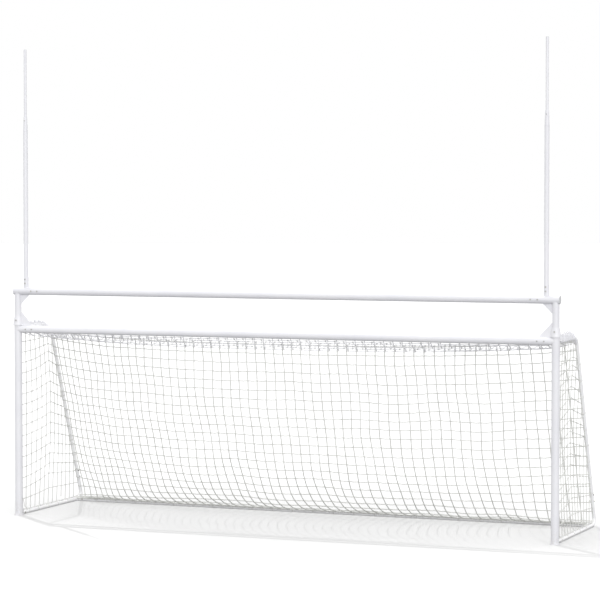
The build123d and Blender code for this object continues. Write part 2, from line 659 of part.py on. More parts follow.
def upright_tip(sign):
    """The thin top tube of an upright, with a guide ring round its foot."""
    x = sign * UPRIGHT_X
    guide_r = LOWER_BORE - RUNNING
    ring = guide_r - TIP_OD / 2 + TIP_WALL / 2
    guide = tube((x, GOAL_LINE, TIP_FOOT), (x, GOAL_LINE, TIP_FOOT + TIP_GUIDE), 2 * guide_r, ring)
    return tube((x, GOAL_LINE, TIP_FOOT), (x, GOAL_LINE, TIP_TOP), TIP_OD, TIP_WALL) + guide


def tip_cap(sign):
    bore = TIP_OD / 2 - TIP_WALL - FIT
    base = TIP_TOP + WELD_GAP
    rise = OVERALL_HEIGHT - base
    plug = base - TIP_CAP_PLUG
    outline = [(0, plug), (bore, plug), (bore, base), (TIP_OD / 2, base)]
    outline += [(TIP_OD / 2 * out, base + rise * up) for out, up in TIP_CAP_PROFILE]
    outline.append((0, base + rise))
    return Pos(sign * UPRIGHT_X, GOAL_LINE, 0) * turned(outline)


PAIRS = {
    "goal_post": goal_post,
    "foot_plate": foot_plate,
    "crossbar_spigot": crossbar_spigot,
    "depth_bracket": depth_bracket,
    "rail_bracket": rail_bracket,
    "back_stay": back_stay,
    "stay_sleeve": stay_sleeve,
    "side_rail": side_rail,
    "rear_bracket": rear_bracket,
    "net_lugs": side_lugs,
    "net": side_net,
    "post_joiner": post_joiner,
    "upper_corner": upper_corner,
    "upper_end_cap": upper_end_cap,
    "upper_gusset": upper_gusset,
    "lower_gusset": lower_gusset,
    "upper_spigot": upper_spigot,
    "upright_socket": upright_socket,
    "upright_tube": upright_tube,
    "upright_reducer": upright_reducer,
    "reducer_screw": reducer_screw,
    "upright_tip": upright_tip,
    "tip_cap": tip_cap,
}
SINGLES = {
    "soccer_crossbar": soccer_crossbar,
    "crossbar_bolts": crossbar_bolts,
    "rear_rail": rear_rail,
    "frame_bolts": frame_bolts,
    "net_lugs_crossbar": crossbar_lugs,
    "net_lugs_rear": rear_lugs,
    "net_back": back_net,
    "football_crossbar": football_crossbar,
    "football_bolts": football_bolts,
    "socket_screws": socket_screws,
    "collar_screws": collar_screws,
}

os.makedirs("parts", exist_ok=True)
for name, make in PAIRS.items():
    for side, sign in SIDES.items():
        export_step(make(sign), f"parts/{name}_{side}.step")
for name, make in SINGLES.items():
    export_step(make(), f"parts/{name}.step")
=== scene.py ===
# %% [markdown]
# # A combination goal on a pale floor
# The real thing is a soccer frame of thick white tube with a net, and a football crossbar with two
# thin uprights plugged into the tops of its posts. The rigid parts come from the fixed frame, so
# this script gives them their finish, and then makes what a rigid model can't hold: the net, its
# ropes and lashings, and the weld beads. Lengths are in metres.

import json
from math import cos, hypot, pi, radians, sin

import bpy
import numpy as np
from mathutils import Matrix, Vector, noise


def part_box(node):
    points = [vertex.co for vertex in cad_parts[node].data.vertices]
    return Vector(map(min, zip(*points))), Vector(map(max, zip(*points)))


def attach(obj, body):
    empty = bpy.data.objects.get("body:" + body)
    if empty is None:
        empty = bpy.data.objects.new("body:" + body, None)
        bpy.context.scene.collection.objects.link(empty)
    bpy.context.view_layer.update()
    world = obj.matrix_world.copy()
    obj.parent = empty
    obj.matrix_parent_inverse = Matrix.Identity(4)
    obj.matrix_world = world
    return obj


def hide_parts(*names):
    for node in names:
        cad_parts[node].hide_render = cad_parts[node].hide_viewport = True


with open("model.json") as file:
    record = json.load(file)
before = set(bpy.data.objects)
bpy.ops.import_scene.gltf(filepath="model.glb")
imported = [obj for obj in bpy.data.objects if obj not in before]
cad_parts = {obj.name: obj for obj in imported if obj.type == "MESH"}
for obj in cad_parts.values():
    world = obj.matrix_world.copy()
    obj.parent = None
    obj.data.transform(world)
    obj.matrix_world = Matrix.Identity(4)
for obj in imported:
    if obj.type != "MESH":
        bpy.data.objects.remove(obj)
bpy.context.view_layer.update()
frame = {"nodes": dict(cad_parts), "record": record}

# %% [markdown]
# Every place below follows from the tubes themselves. The box round a post gives the goal line and
# the post's radius, and the box round the crossbar gives its height. Only the depths of the side
# frames are named here, because a box can't give where a bend would have had its corner.

# %% Places that follow from the frame
GOAL_FRAME = "goal_frame"
SIDES = {"left": -1, "right": 1}
TOP_DEPTH = 0.9144
BASE_DEPTH = 1.8288


def middle(node):
    low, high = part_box(node)
    return (low + high) / 2


def radius_of(node, axis):
    low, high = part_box(node)
    return (high[axis] - low[axis]) / 2


POST_X = middle("goal_post_right").x
GOAL_LINE = middle("goal_post_right").y
POST_R = radius_of("goal_post_right", 0)
CROSSBAR_Z = middle("soccer_crossbar").z
STAY_R = radius_of("rear_rail", 2)
RAIL_Z = middle("rear_rail").z
REAR_Y = middle("rear_rail").y
STAY_LEAN = (BASE_DEPTH - TOP_DEPTH) / (CROSSBAR_Z - RAIL_Z)
print(f"posts at {POST_X:.3f}, crossbar at {CROSSBAR_Z:.3f}, goal line at {GOAL_LINE:.3f}")

# %% [markdown]
# The camera stands about thirty metres out in the field, at twice a person's height, and looks at
# the goal with a long lens from the right. The long lens keeps the far post almost as tall as the
# near one.

# %% Camera
CAMERA_PLACE = (12.043, -28.813 + GOAL_LINE, 4.278)
CAMERA_TURN, CAMERA_TILT = radians(22.1), radians(2.463)
camera_data = bpy.data.cameras.new("camera")
camera_data.lens = 147.1
camera_data.sensor_width = 36
camera_data.clip_end = 500
camera = bpy.data.objects.new("camera", camera_data)
camera.location = CAMERA_PLACE
camera.rotation_euler = (pi / 2 - CAMERA_TILT, 0, CAMERA_TURN)
bpy.context.scene.collection.objects.link(camera)
bpy.context.scene.camera = camera
print("camera at", tuple(round(v, 2) for v in camera.location))

# %% [markdown]
# A node tree is easier to read when each kind of node takes one line. These helpers add a node, set
# its sockets by name and join links, and every finish below is written with them.

# %% Helpers for materials


def new_material(name, roughness, metallic=0.0):
    """A material with its node tree, its shader and object coordinates."""
    material = bpy.data.materials.new(name)
    material.use_nodes = True
    tree = material.node_tree
    shader = tree.nodes["Principled BSDF"]
    shader.inputs["Roughness"].default_value = roughness
    shader.inputs["Metallic"].default_value = metallic
    coordinates = tree.nodes.new("ShaderNodeTexCoord")
    return material, tree, shader, coordinates.outputs["Object"]


def add_node(tree, kind, **settings):
    """Adds a node. A setting is a property of the node, or else the value of a socket."""
    node = tree.nodes.new(kind)
    for key, value in settings.items():
        if hasattr(node, key):
            setattr(node, key, value)
        else:
            node.inputs[key.replace("_", " ")].default_value = value
    return node


def link(tree, start, end):
    tree.links.new(start, end)


def noise_at(tree, place, scale, detail=3.0, roughness=0.55):
    """A noise value at that many waves a metre."""
    node = add_node(tree, "ShaderNodeTexNoise", Scale=scale, Detail=detail)
    node.inputs["Roughness"].default_value = roughness
    link(tree, place, node.inputs["Vector"])
    return node.outputs["Fac"]


def ramp(tree, value, stops):
    """A colour ramp from (position, colour) stops."""
    node = tree.nodes.new("ShaderNodeValToRGB")
    elements = node.color_ramp.elements
    while len(elements) < len(stops):
        elements.new(0.5)
    for element, (position, colour) in zip(elements, stops):
        element.position = position
        element.color = (*colour, 1)
    link(tree, value, node.inputs["Fac"])
    return node.outputs["Color"]


def blend_colours(tree, share, first, second):
    """Mixes two colours by a share that is a link or a number."""
    node = add_node(tree, "ShaderNodeMix", data_type="RGBA")
    for name, value in (("Factor", share), ("A", first), ("B", second)):
        socket = node.inputs[name]
        if isinstance(value, bpy.types.NodeSocket):
            link(tree, value, socket)
        elif isinstance(value, tuple):
            socket.default_value = (*value, 1)
        else:
            socket.default_value = value
    return node.outputs["Result"]


def grey(value):
    return (value, value, value)


def bump(tree, shader, height, distance, strength=1.0):
    node = add_node(tree, "ShaderNodeBump", Strength=strength, Distance=distance)
    link(tree, height, node.inputs["Height"])
    link(tree, node.outputs["Normal"], shader.inputs["Normal"])


# %% [markdown]
# The tubes are powder coated. Up close such a coat is never flat: it has a faint orange peel, its
# gloss varies where hands and weather have been, and the lowest part of a goal picks up dust from
# the ground. The peel is a small bump, the gloss is a slow noise, and the dust fades out with
# height. The tint is a little cool, as bright white coats are. The stays and rails at the back
# take a whiter copy of the coat with less dust on it. That is painted light, which lifts these tubes out
# of the net's shade.

# %% Powder coat
COAT_WHITE, COAT_SHADE, DUST = (0.82, 0.82, 0.85), (0.77, 0.77, 0.81), (0.56, 0.53, 0.48)
# A whiter copy of the coat for the tubes at the back: painted light against the shade of the net around
# them.
PAINTED_LIGHT_WHITE, PAINTED_LIGHT_TINT = (0.95, 0.95, 0.96), (0.92, 0.92, 0.94)
DUST_TOP = 0.30


def powder_coat(name, white, shade, dust_share):
    material, tree, shader, place = new_material(name, 0.38)
    patches = noise_at(tree, place, 1.6, detail=4)
    colour = ramp(tree, patches, [(0.35, shade), (0.62, white)])
    height = tree.nodes.new("ShaderNodeSeparateXYZ")
    link(tree, place, height.inputs["Vector"])
    near_ground = add_node(tree, "ShaderNodeMapRange")
    near_ground.inputs["From Min"].default_value = DUST_TOP
    near_ground.inputs["From Max"].default_value = 0.0
    near_ground.inputs["To Max"].default_value = dust_share
    link(tree, height.outputs["Z"], near_ground.inputs["Value"])
    dirt = noise_at(tree, place, 38, detail=6, roughness=0.7)
    specks = ramp(tree, dirt, [(0.42, grey(0)), (0.72, grey(1))])
    dusty = add_node(tree, "ShaderNodeMath", operation="MULTIPLY")
    link(tree, near_ground.outputs["Result"], dusty.inputs[0])
    link(tree, specks, dusty.inputs[1])
    link(tree, blend_colours(tree, dusty.outputs["Value"], colour, DUST), shader.inputs["Base Color"])
    gloss = ramp(tree, noise_at(tree, place, 9, detail=5), [(0.3, grey(0.30)), (0.75, grey(0.50))])
    link(tree, gloss, shader.inputs["Roughness"])
    bump(tree, shader, noise_at(tree, place, 420, detail=2), 0.0004, 0.35)
    shader.inputs["Coat Weight"].default_value = 0.15
    shader.inputs["Coat Roughness"].default_value = 0.25
    return material


POWDER_COAT = powder_coat("powder coat", COAT_WHITE, COAT_SHADE, 0.55)
PAINTED_LIGHT_COAT = powder_coat("powder coat with painted light", PAINTED_LIGHT_WHITE, PAINTED_LIGHT_TINT, 0.20)
print("made", POWDER_COAT.name, "and", PAINTED_LIGHT_COAT.name)

# %% [markdown]
# The bolts are zinc plated and the hidden sleeves are hot-dip galvanised. Zinc plate is smooth with
# a slight yellow and blue cast in patches. A galvanised face shows its crystals, which a Voronoi
# texture gives: each cell takes its own grey.

# %% Metals and plastic


def zinc_plate():
    material, tree, shader, place = new_material("zinc plate", 0.34, metallic=1.0)
    patches = noise_at(tree, place, 60, detail=4)
    cast = ramp(tree, patches, [(0.35, (0.50, 0.52, 0.56)), (0.65, (0.66, 0.63, 0.55))])
    link(tree, cast, shader.inputs["Base Color"])
    wear = ramp(tree, noise_at(tree, place, 240, detail=3), [(0.3, grey(0.26)), (0.8, grey(0.46))])
    link(tree, wear, shader.inputs["Roughness"])
    bump(tree, shader, noise_at(tree, place, 900, detail=1), 0.0002, 0.3)
    return material


def galvanised():
    material, tree, shader, place = new_material("galvanised steel", 0.45, metallic=1.0)
    crystals = add_node(tree, "ShaderNodeTexVoronoi", Scale=90.0)
    link(tree, place, crystals.inputs["Vector"])
    level = tree.nodes.new("ShaderNodeSeparateColor")
    link(tree, crystals.outputs["Color"], level.inputs["Color"])
    colour = ramp(tree, level.outputs["Red"], [(0.0, (0.38, 0.40, 0.42)), (1.0, (0.60, 0.62, 0.64))])
    link(tree, colour, shader.inputs["Base Color"])
    dull = ramp(tree, level.outputs["Green"], [(0.0, grey(0.35)), (1.0, grey(0.6))])
    link(tree, dull, shader.inputs["Roughness"])
    return material


def cap_plastic():
    material, tree, shader, place = new_material("cap plastic", 0.5)
    patches = noise_at(tree, place, 22, detail=5)
    colour = ramp(tree, patches, [(0.3, (0.60, 0.61, 0.62)), (0.7, (0.70, 0.71, 0.72))])
    link(tree, colour, shader.inputs["Base Color"])
    bump(tree, shader, noise_at(tree, place, 1400, detail=2), 0.0001, 0.5)
    return material


FINISHES = {
    "powder_coat": POWDER_COAT,
    "zinc_fastener": zinc_plate(),
    "galvanised_sleeve": galvanised(),
    "cap_plastic": cap_plastic(),
}
print("made", ", ".join(m.name for m in FINISHES.values()))

# %% [markdown]
# The net and its ropes are braided polyester, white but never clean. A cord's own map runs along it
# and round it, so a wave across both gives the turns of the lay, as a bump and as a slightly darker
# groove, which is painted shade. Weather greys it in patches, and a soft sheen
# lies on it.

# %% Twine
TWINE_LIGHT, TWINE_DARK = (0.83, 0.835, 0.81), (0.70, 0.705, 0.675)


def twine(name, light, dark, turns):
    material, tree, shader, place = new_material(name, 0.85)
    weather = ramp(tree, noise_at(tree, place, 5, detail=5), [(0.3, dark), (0.7, light)])
    own_map = add_node(tree, "ShaderNodeUVMap", uv_map="UVMap")
    lay = add_node(tree, "ShaderNodeTexWave", bands_direction="DIAGONAL", Scale=turns, Distortion=0.6)
    link(tree, own_map.outputs["UV"], lay.inputs["Vector"])
    # Painted shade: the colour is darker in the groove of the lay, where shade falls.
    painted_groove_shade = ramp(tree, lay.outputs["Fac"], [(0.0, grey(0.72)), (0.45, grey(1))])
    colour = add_node(tree, "ShaderNodeMix", data_type="RGBA", blend_type="MULTIPLY")
    colour.inputs["Factor"].default_value = 1.0
    link(tree, weather, colour.inputs["A"])
    link(tree, painted_groove_shade, colour.inputs["B"])
    link(tree, colour.outputs["Result"], shader.inputs["Base Color"])
    bump(tree, shader, lay.outputs["Fac"], 0.0006, 0.6)
    shader.inputs["Sheen Weight"].default_value = 0.3
    shader.inputs["Sheen Roughness"].default_value = 0.5
    return material


NET_TWINE = twine("net twine", TWINE_LIGHT, TWINE_DARK, 6.0)
# A whiter copy of the net twine for the dense roof pleats and the corner bundles: painted light against
# the shade their twine casts on itself.
PAINTED_LIGHT_TWINE = twine("net twine with painted light", (0.93, 0.93, 0.96), (0.86, 0.86, 0.90), 6.0)
ROPE = twine("border rope", (0.90, 0.90, 0.88), (0.78, 0.78, 0.76), 6.0)
print("made", NET_TWINE.name, "and", ROPE.name)

# %% [markdown]
# The frame's own nodes keep their meshes and only change their finish. The record says which slot
# each node belongs to, so one loop does all of them.

# %% Finish of the rigid parts


def finish_of_nodes():
    """The finish of each node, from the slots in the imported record."""
    parts = frame["record"]["subparts"]
    return {part["node"]: FINISHES.get(part["material_slot"], POWDER_COAT) for part in parts}


node_finish = finish_of_nodes()
BACK_TUBES = ("back_stay_left", "back_stay_right", "side_rail_left", "side_rail_right", "rear_rail")
# The stays and rails take the whiter copy of the coat, painted light that lifts them out of the net's
# shade.
node_finish.update({name: PAINTED_LIGHT_COAT for name in BACK_TUBES})
for name, node in frame["nodes"].items():
    node.data.materials.clear()
    node.data.materials.append(node_finish.get(name, POWDER_COAT))
print("finished", len(frame["nodes"]), "nodes;", len(node_finish), "named in the record")

# %% [markdown]
# A cord here is a list of points that becomes a curve with a round section, and then a mesh. Many
# cords that belong to one piece go into one curve, because a net is thousands of short runs and a
# separate object for each would be hard to handle.

# %% Helper for cords


def clear_selection():
    bpy.ops.object.select_all(action="DESELECT")


def cords(
    name, lines, radius, material, sides=1, closed=False, smooth=False, slot="net_twine", body=GOAL_FRAME
):
    """One mesh of round cords along lists of points. sides is the bevel resolution."""
    curve = bpy.data.curves.new(name, "CURVE")
    curve.dimensions = "3D"
    curve.bevel_depth = radius
    curve.bevel_resolution = sides
    curve.use_fill_caps = True
    for line in lines:
        spline = curve.splines.new("NURBS" if smooth else "POLY")
        spline.points.add(len(line) - 1)
        for point, place in zip(spline.points, line):
            point.co = (*place, 1)
        spline.use_cyclic_u = closed
        spline.use_smooth = True
        if smooth:
            spline.order_u = 3
            spline.use_endpoint_u = not closed
            spline.resolution_u = 4
    piece = bpy.data.objects.new(name, curve)
    bpy.context.scene.collection.objects.link(piece)
    clear_selection()
    piece.select_set(True)
    bpy.context.view_layer.objects.active = piece
    bpy.ops.object.convert(target="MESH")
    piece = bpy.context.view_layer.objects.active
    piece.data.materials.clear()
    piece.data.materials.append(material)
    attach(piece, body)
    print(name, len(lines), "cords,", len(piece.data.polygons), "faces")
    return piece


def along(points, count):
    """count places evenly spaced along a polyline."""
    points = np.array(points, float)
    steps = np.linalg.norm(np.diff(points, axis=0), axis=1)
    distance = np.concatenate([[0], np.cumsum(steps)])
    wanted = np.linspace(0, distance[-1], count)
    return np.stack([np.interp(wanted, distance, points[:, i]) for i in range(points.shape[1])], axis=1)


def smooth_line(points, steps=8):
    """A Catmull-Rom line through points, so that a hanging net has no corners."""
    points = np.array(points, float)
    padded = np.vstack([2 * points[0] - points[1], points, 2 * points[-1] - points[-2]])
    line = []
    for a, b, c, d in zip(padded, padded[1:], padded[2:], padded[3:]):
        for t in np.linspace(0, 1, steps, endpoint=False):
            square, cube = 2 * a - 5 * b + 4 * c - d, 3 * b - a - 3 * c + d
            line.append(0.5 * (2 * b + (c - a) * t + square * t**2 + cube * t**3))
    return np.vstack([line, points[-1]])


# %% [markdown]
# ## The net
# A real goal net is one knotted piece. Beside each side frame a border rope threaded through the
# lugs holds it up, so there it follows the depth bar and the stay. At mid span nothing holds it, so
# it hangs from the crossbar as a curtain and sweeps back to the rear rail. The roof has no work to
# do there, and its length is gathered into pleats under the crossbar.
# A simulation could find this shape, but the two lines that bound it are known: the line along the
# side frame, and the hanging line at mid span. Every knot between them is a mix of the two.

# %% Lines that bound the net
EYE = 0.0132  # from a tube's face to the eye of a lug
HEAD_LUG_ANGLE, REAR_LUG_ANGLE = 0.7, 0.9  # radians from level, on the crossbar and the rear rail
MESH = 0.1255
COLUMNS = round(2 * POST_X / MESH)
ROOF_ROWS = 6
BACK_ROWS = 23
STAY_ROWS = 19  # of those, the ones spread along the stay; the rest bunch in the corner
ROOF_CLOTH = 0.85
GATHER_DEPTH = 0.075
ROPE_OFFSET = STAY_R + EYE


def stay_depth(z):
    """Distance of the stay's centre line from the goal line at height z."""
    return TOP_DEPTH + (CROSSBAR_Z - z) * STAY_LEAN


def hanging_line():
    """Depth and height of the net at mid span, from the crossbar to the rear rail."""
    rear = REAR_Y - GOAL_LINE - ROPE_OFFSET
    start = (POST_R + 0.025, CROSSBAR_Z - POST_R - GATHER_DEPTH)
    shape = [
        (0.035, 0.17), (0.085, 0.34), (0.15, 0.51), (0.24, 0.67),
        (0.345, 0.79), (0.49, 0.885), (0.7, 0.95), (1, 0.985),
    ]
    depth, drop = rear - start[0], start[1]
    return smooth_line([start] + [(start[0] + depth * a, start[1] - drop * b) for a, b in shape])


def stay_line():
    """Depth and height of the border rope from the top corner of the side frame to the rear rail."""
    run = hypot(1, STAY_LEAN)
    inset = ROPE_OFFSET * run
    corner = CROSSBAR_Z - ROPE_OFFSET
    top = (stay_depth(corner) - inset - 0.03, corner - 0.015)
    low = RAIL_Z + 0.07
    points = [top, (stay_depth(corner - 0.16) - inset, corner - 0.16)]
    points += [(stay_depth(z) - inset, z) for z in np.linspace(corner - 0.4, low, 6)]
    points.append((REAR_Y - GOAL_LINE - ROPE_OFFSET + 0.01, RAIL_Z + 0.012))
    return smooth_line(points)


HANGING, STAY = along(hanging_line(), 240), along(stay_line(), 240)
hanging_length = np.linalg.norm(np.diff(HANGING, axis=0), axis=1).sum()
print("the hanging line is", round(hanging_length, 3), "m")
print("a row every", round(hanging_length / BACK_ROWS, 4), "m on average")


def place_on(line, share):
    index = share * (len(line) - 1)
    low = int(min(index, len(line) - 2))
    return line[low] + (line[low + 1] - line[low]) * (index - low)


# %% [markdown]
# Two numbers place a knot: its column, which says how slack the net is there, and its row. The rows
# are nearly even along the hanging line, and a little wider where it lies on the ground. Along the
# stay the last rows bunch up in the bottom corner, because the curtain lies further forward and
# uses up its length on the ground.

# %% Knots of the back
CORNER_SHARE = 0.955
GROUND_PULL = 0.12
SLACK_POWER = 3.2


def slack_at(x):
    return 1 - abs(x / POST_X) ** SLACK_POWER


DRIFT_SEED = 1
noise.seed_set(DRIFT_SEED)  # without it the drift follows the clock and differs in each run


def wander(x, z, seed, size, waves=1.7):
    """A slow, seeded drift, for a net that has been played on."""
    drift = noise.noise_vector(Vector((x * waves, z * waves, seed)))
    return Vector((drift.x, drift.y, drift.z)) * size


def stay_share(row):
    if row <= STAY_ROWS:
        return CORNER_SHARE * row / STAY_ROWS
    return CORNER_SHARE + (1 - CORNER_SHARE) * (row - STAY_ROWS) / (BACK_ROWS - STAY_ROWS)


def hung_share(row):
    """Share of the hanging line at a row. The last rows lie on the ground, pulled out flat."""
    even = row / BACK_ROWS
    return (even + GROUND_PULL * even**6) / (1 + GROUND_PULL)


def back_knot(x, row):
    """The place of a knot of the back, or of a point between rows."""
    slack = slack_at(x)
    held, hung = place_on(STAY, stay_share(row)), place_on(HANGING, hung_share(row))
    depth, height = held * (1 - slack) + hung * slack
    free = min(1.0, 8 * (1 - abs(x) / POST_X)) * min(1.0, row / 2) * min(1.0, (BACK_ROWS - row) / 3)
    drift = wander(x, row * MESH, 3.1, 0.05) * free
    bunched = max(0.0, row - STAY_ROWS) * (1 - slack) * 0.004
    shift = Vector((drift.x * 0.6, drift.y + bunched * cos(row * pi), drift.z * 0.5 + bunched * 0.5))
    return Vector((x, GOAL_LINE + depth, max(height, 0.012))) + shift


def columns():
    return np.linspace(-POST_X, POST_X, COLUMNS + 1)


def rows_of(knot, x_places, count):
    """Lines across the net, with a small sag between knots."""
    lines = []
    for row in range(count + 1):
        line = []
        for a, b in zip(x_places, x_places[1:]):
            start, end = knot(a, row), knot(b, row)
            line += [start, (start + end) / 2 - Vector((0, 0, 0.0035))]
        lines.append(line + [knot(x_places[-1], row)])
    return lines


back_rows = rows_of(back_knot, columns(), BACK_ROWS)
back_columns = [[back_knot(x, row / 2) for row in range(2 * BACK_ROWS + 1)] for x in columns()[1:-1]]
BACK_TWINE_R, SIDE_TWINE_R = 0.0070, 0.0050
back = cords("back_net_twine", back_rows + back_columns, BACK_TWINE_R, NET_TWINE)
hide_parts("net_back")

# %% [markdown]
# The roof runs from the crossbar to the top of the back. Near the ends it spans the depth bars. At
# mid span its cloth has almost nowhere to go, so each row hangs below or above the last: those are
# the pleats.

# %% Roof and pleats
HEAD_DEPTH = (POST_R + EYE) * cos(HEAD_LUG_ANGLE)
HEAD_Z = CROSSBAR_Z - (POST_R + EYE) * sin(HEAD_LUG_ANGLE)


def roof_knot(x, row):
    start = Vector((x, GOAL_LINE + HEAD_DEPTH, HEAD_Z))
    end = back_knot(x, 0)
    span = (end - start).length
    step = ROOF_CLOTH / ROOF_ROWS
    spare = max(0.0, step**2 - (span / ROOF_ROWS) ** 2) ** 0.5
    share = row / ROOF_ROWS
    odd = round(row) % 2
    gathered = min(1.0, spare / step) * min(1.0, 10 * (1 - abs(x) / POST_X))
    across = 0.45 * MESH * gathered * sin(row * pi / 2 + 0.7)
    across += 0.02 * gathered * noise.noise(Vector((x * 9, row, 1)))
    drop = min(spare, GATHER_DEPTH) * (0.5 + 0.5 * slack_at(x)) * (1 if odd else 0)
    drop += 0.03 * (1 - slack_at(x)) * sin(pi * share) * min(1.0, 12 * (1 - abs(x) / POST_X))
    free = min(1.0, 10 * (1 - abs(x) / POST_X))
    drift = wander(x, row * 0.4, 7.7, 0.022, waves=5.0) * free * sin(pi * share)
    shift = Vector((drift.x + across * sin(pi * share), drift.y * 0.6, drift.z * 0.5 - drop))
    return start.lerp(end, share) + shift


roof_rows = rows_of(roof_knot, columns(), ROOF_ROWS)
roof_columns = [[roof_knot(x, row) for row in range(ROOF_ROWS + 1)] for x in columns()]
# The roof takes the whiter twine, painted light against the shade of its own pleats.
cords("roof_net_twine", roof_rows + roof_columns, SIDE_TWINE_R, PAINTED_LIGHT_TWINE)

# %% [markdown]
# Each side of the net fills the frame between post, depth bar, stay and ground rail. It is a plain
# grid, cut off where it meets the stay. It is pulled up where the top corner holds it and sags on
# both sides of that line, so its rows rise and then fall.

# %% Sides of the net
RIDGE_DEPTH = 0.80
RIDGE_LIFT, STAY_SAG = 0.135, 0.12
SIDE_ROWS = 17
SIDE_TOP = CROSSBAR_Z - ROPE_OFFSET
SIDE_FRONT = POST_R + EYE
SIDE_LOW = RAIL_Z + ROPE_OFFSET
SIDE_MESH = (SIDE_TOP - SIDE_LOW) / SIDE_ROWS
BILLOW = 0.05


def rope_depth(z):
    """Depth of the stay's border rope at height z."""
    return min(stay_depth(z) - ROPE_OFFSET * hypot(1, STAY_LEAN), REAR_Y - GOAL_LINE + 0.02)


def side_lift(depth, share):
    """How far a row stands above level at that depth, and share is how far down the side it is."""
    fade = min(1.0, 5 * share) * min(1.0, 9 * (1 - share))
    if depth < RIDGE_DEPTH:
        return fade * RIDGE_LIFT * (depth / RIDGE_DEPTH) ** 1.6
    reach = rope_depth(SIDE_TOP + (SIDE_LOW - SIDE_TOP) * share) - RIDGE_DEPTH
    behind = min(1.0, (depth - RIDGE_DEPTH) / max(reach, 0.05))
    return fade * (RIDGE_LIFT - STAY_SAG * behind * max(0.0, sin(pi * share)) ** 0.7)


def side_place(sign, depth, row):
    share = row / SIDE_ROWS
    z = SIDE_TOP - SIDE_MESH * row + side_lift(depth, share)
    z = min(max(z, SIDE_LOW), SIDE_TOP)
    width = max(rope_depth(z) - SIDE_FRONT, 0.01)
    inner = min(1.0, max(0.0, (depth - SIDE_FRONT) / width))
    billow = BILLOW * sin(pi * inner) * sin(pi * min(1.0, max(0.0, share)))
    drift = wander(depth * 2, z, 5.0 + sign, 0.02) * sin(pi * inner) * sin(pi * share)
    x, y = sign * (POST_X - billow) + drift.x * 0.5, GOAL_LINE + depth + drift.y * 0.4
    return Vector((x, y, z + drift.z * 0.5))


def side_rows(sign):
    lines = []
    for row in range(SIDE_ROWS + 1):
        z = SIDE_TOP - SIDE_MESH * row
        count = max(4, round(2 * (rope_depth(z) - SIDE_FRONT) / MESH))
        end = rope_depth(min(max(z + side_lift(rope_depth(z), row / SIDE_ROWS), SIDE_LOW), SIDE_TOP))
        lines.append([side_place(sign, d, row) for d in np.linspace(SIDE_FRONT, end, count + 1)])
    return lines


def side_columns(sign):
    lines = []
    for depth in np.arange(SIDE_FRONT, rope_depth(SIDE_LOW) - 0.02, MESH):
        first = 0.0
        while rope_depth(side_place(sign, depth, first).z) < depth and first < SIDE_ROWS:
            first += 0.25
        line = [side_place(sign, depth, row) for row in np.arange(first, SIDE_ROWS + 0.01, 0.5)]
        if len(line) > 2:
            lines.append(line)
    return lines


for side, sign in SIDES.items():
    piece = cords(f"side_net_twine_{side}", side_rows(sign) + side_columns(sign), SIDE_TWINE_R, NET_TWINE)
    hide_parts(f"net_{side}")

# %% [markdown]
# Where two twines cross there is a knot. One small lump is made from a torus, squeezed and turned
# so that it looks like a hitch, and copied to every crossing with its own mesh joined in.

# %% Knots
KNOT_R = 0.0092


def knot_shape():
    """Points and faces of one hitch, about the origin."""
    clear_selection()
    bpy.ops.mesh.primitive_torus_add(
        major_segments=6,
        minor_segments=4,
        major_radius=KNOT_R * 0.62,
        minor_radius=KNOT_R * 0.5,
        rotation=(pi / 2, 0, 0.6),
    )
    torus = bpy.context.object
    torus.scale = (1.25, 1.0, 0.85)
    bpy.ops.object.transform_apply(location=False, rotation=True, scale=True)
    points = np.array([v.co for v in torus.data.vertices])
    faces = [list(f.vertices) for f in torus.data.polygons]
    bpy.data.objects.remove(torus)
    return points, faces


KNOT_POINTS, KNOT_FACES = knot_shape()


def knots(name, places):
    """Knots at all these places as one piece."""
    chance = np.random.default_rng(11)
    points, faces = [], []
    for i, place in enumerate(places):
        turn = np.array(Matrix.Rotation(chance.uniform(-0.5, 0.5), 3, "Y"))
        points.append(KNOT_POINTS @ turn.T + np.array(place))
        faces += [[v + i * len(KNOT_POINTS) for v in face] for face in KNOT_FACES]
    mesh = bpy.data.meshes.new(name)
    mesh.from_pydata(np.vstack(points).tolist(), [], faces)
    mesh.uv_layers.new(name="UVMap")
    mesh.materials.append(NET_TWINE)
    mesh.shade_smooth()
    piece = bpy.data.objects.new(name, mesh)
    bpy.context.scene.collection.objects.link(piece)
    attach(piece, GOAL_FRAME)
    print(name, len(places), "knots")
    return piece


knots("back_net_knots", [back_knot(x, row) for x in columns()[1:-1] for row in range(1, BACK_ROWS)])
knots("roof_net_knots", [roof_knot(x, row) for x in columns()[1:-1] for row in range(1, ROOF_ROWS + 1)])
for side, sign in SIDES.items():
    crossings = []
    for depth in np.arange(SIDE_FRONT + MESH, rope_depth(SIDE_LOW) - 0.02, MESH):
        for row in range(1, SIDE_ROWS):
            place = side_place(sign, depth, row)
            if rope_depth(place.z) > depth:
                crossings.append(place)
    knots(f"side_net_knots_{side}", crossings)

# %% [markdown]
# The border rope is threaded through the eyes of the lugs: along the crossbar, round each side
# frame and along the rear rail. It is thicker than the net's twine and stays white.

# %% Border ropes
ROPE_R = 0.0035


def frame_loop(sign):
    """The border rope of a side: post, depth bar, stay and ground rail."""
    top = STAY[::12]
    line = [(SIDE_FRONT, SIDE_LOW), (SIDE_FRONT, (SIDE_LOW + SIDE_TOP) / 2), (SIDE_FRONT, SIDE_TOP - 0.01)]
    line += [(SIDE_FRONT + 0.02, SIDE_TOP), (0.3, SIDE_TOP), (0.6, SIDE_TOP - 0.002)]
    line += [tuple(p) for p in top]
    line += [(REAR_Y - GOAL_LINE - 0.1, SIDE_LOW), (0.9, SIDE_LOW - 0.004), (0.4, SIDE_LOW)]
    return [Vector((sign * POST_X, GOAL_LINE + depth, z)) for depth, z in line]


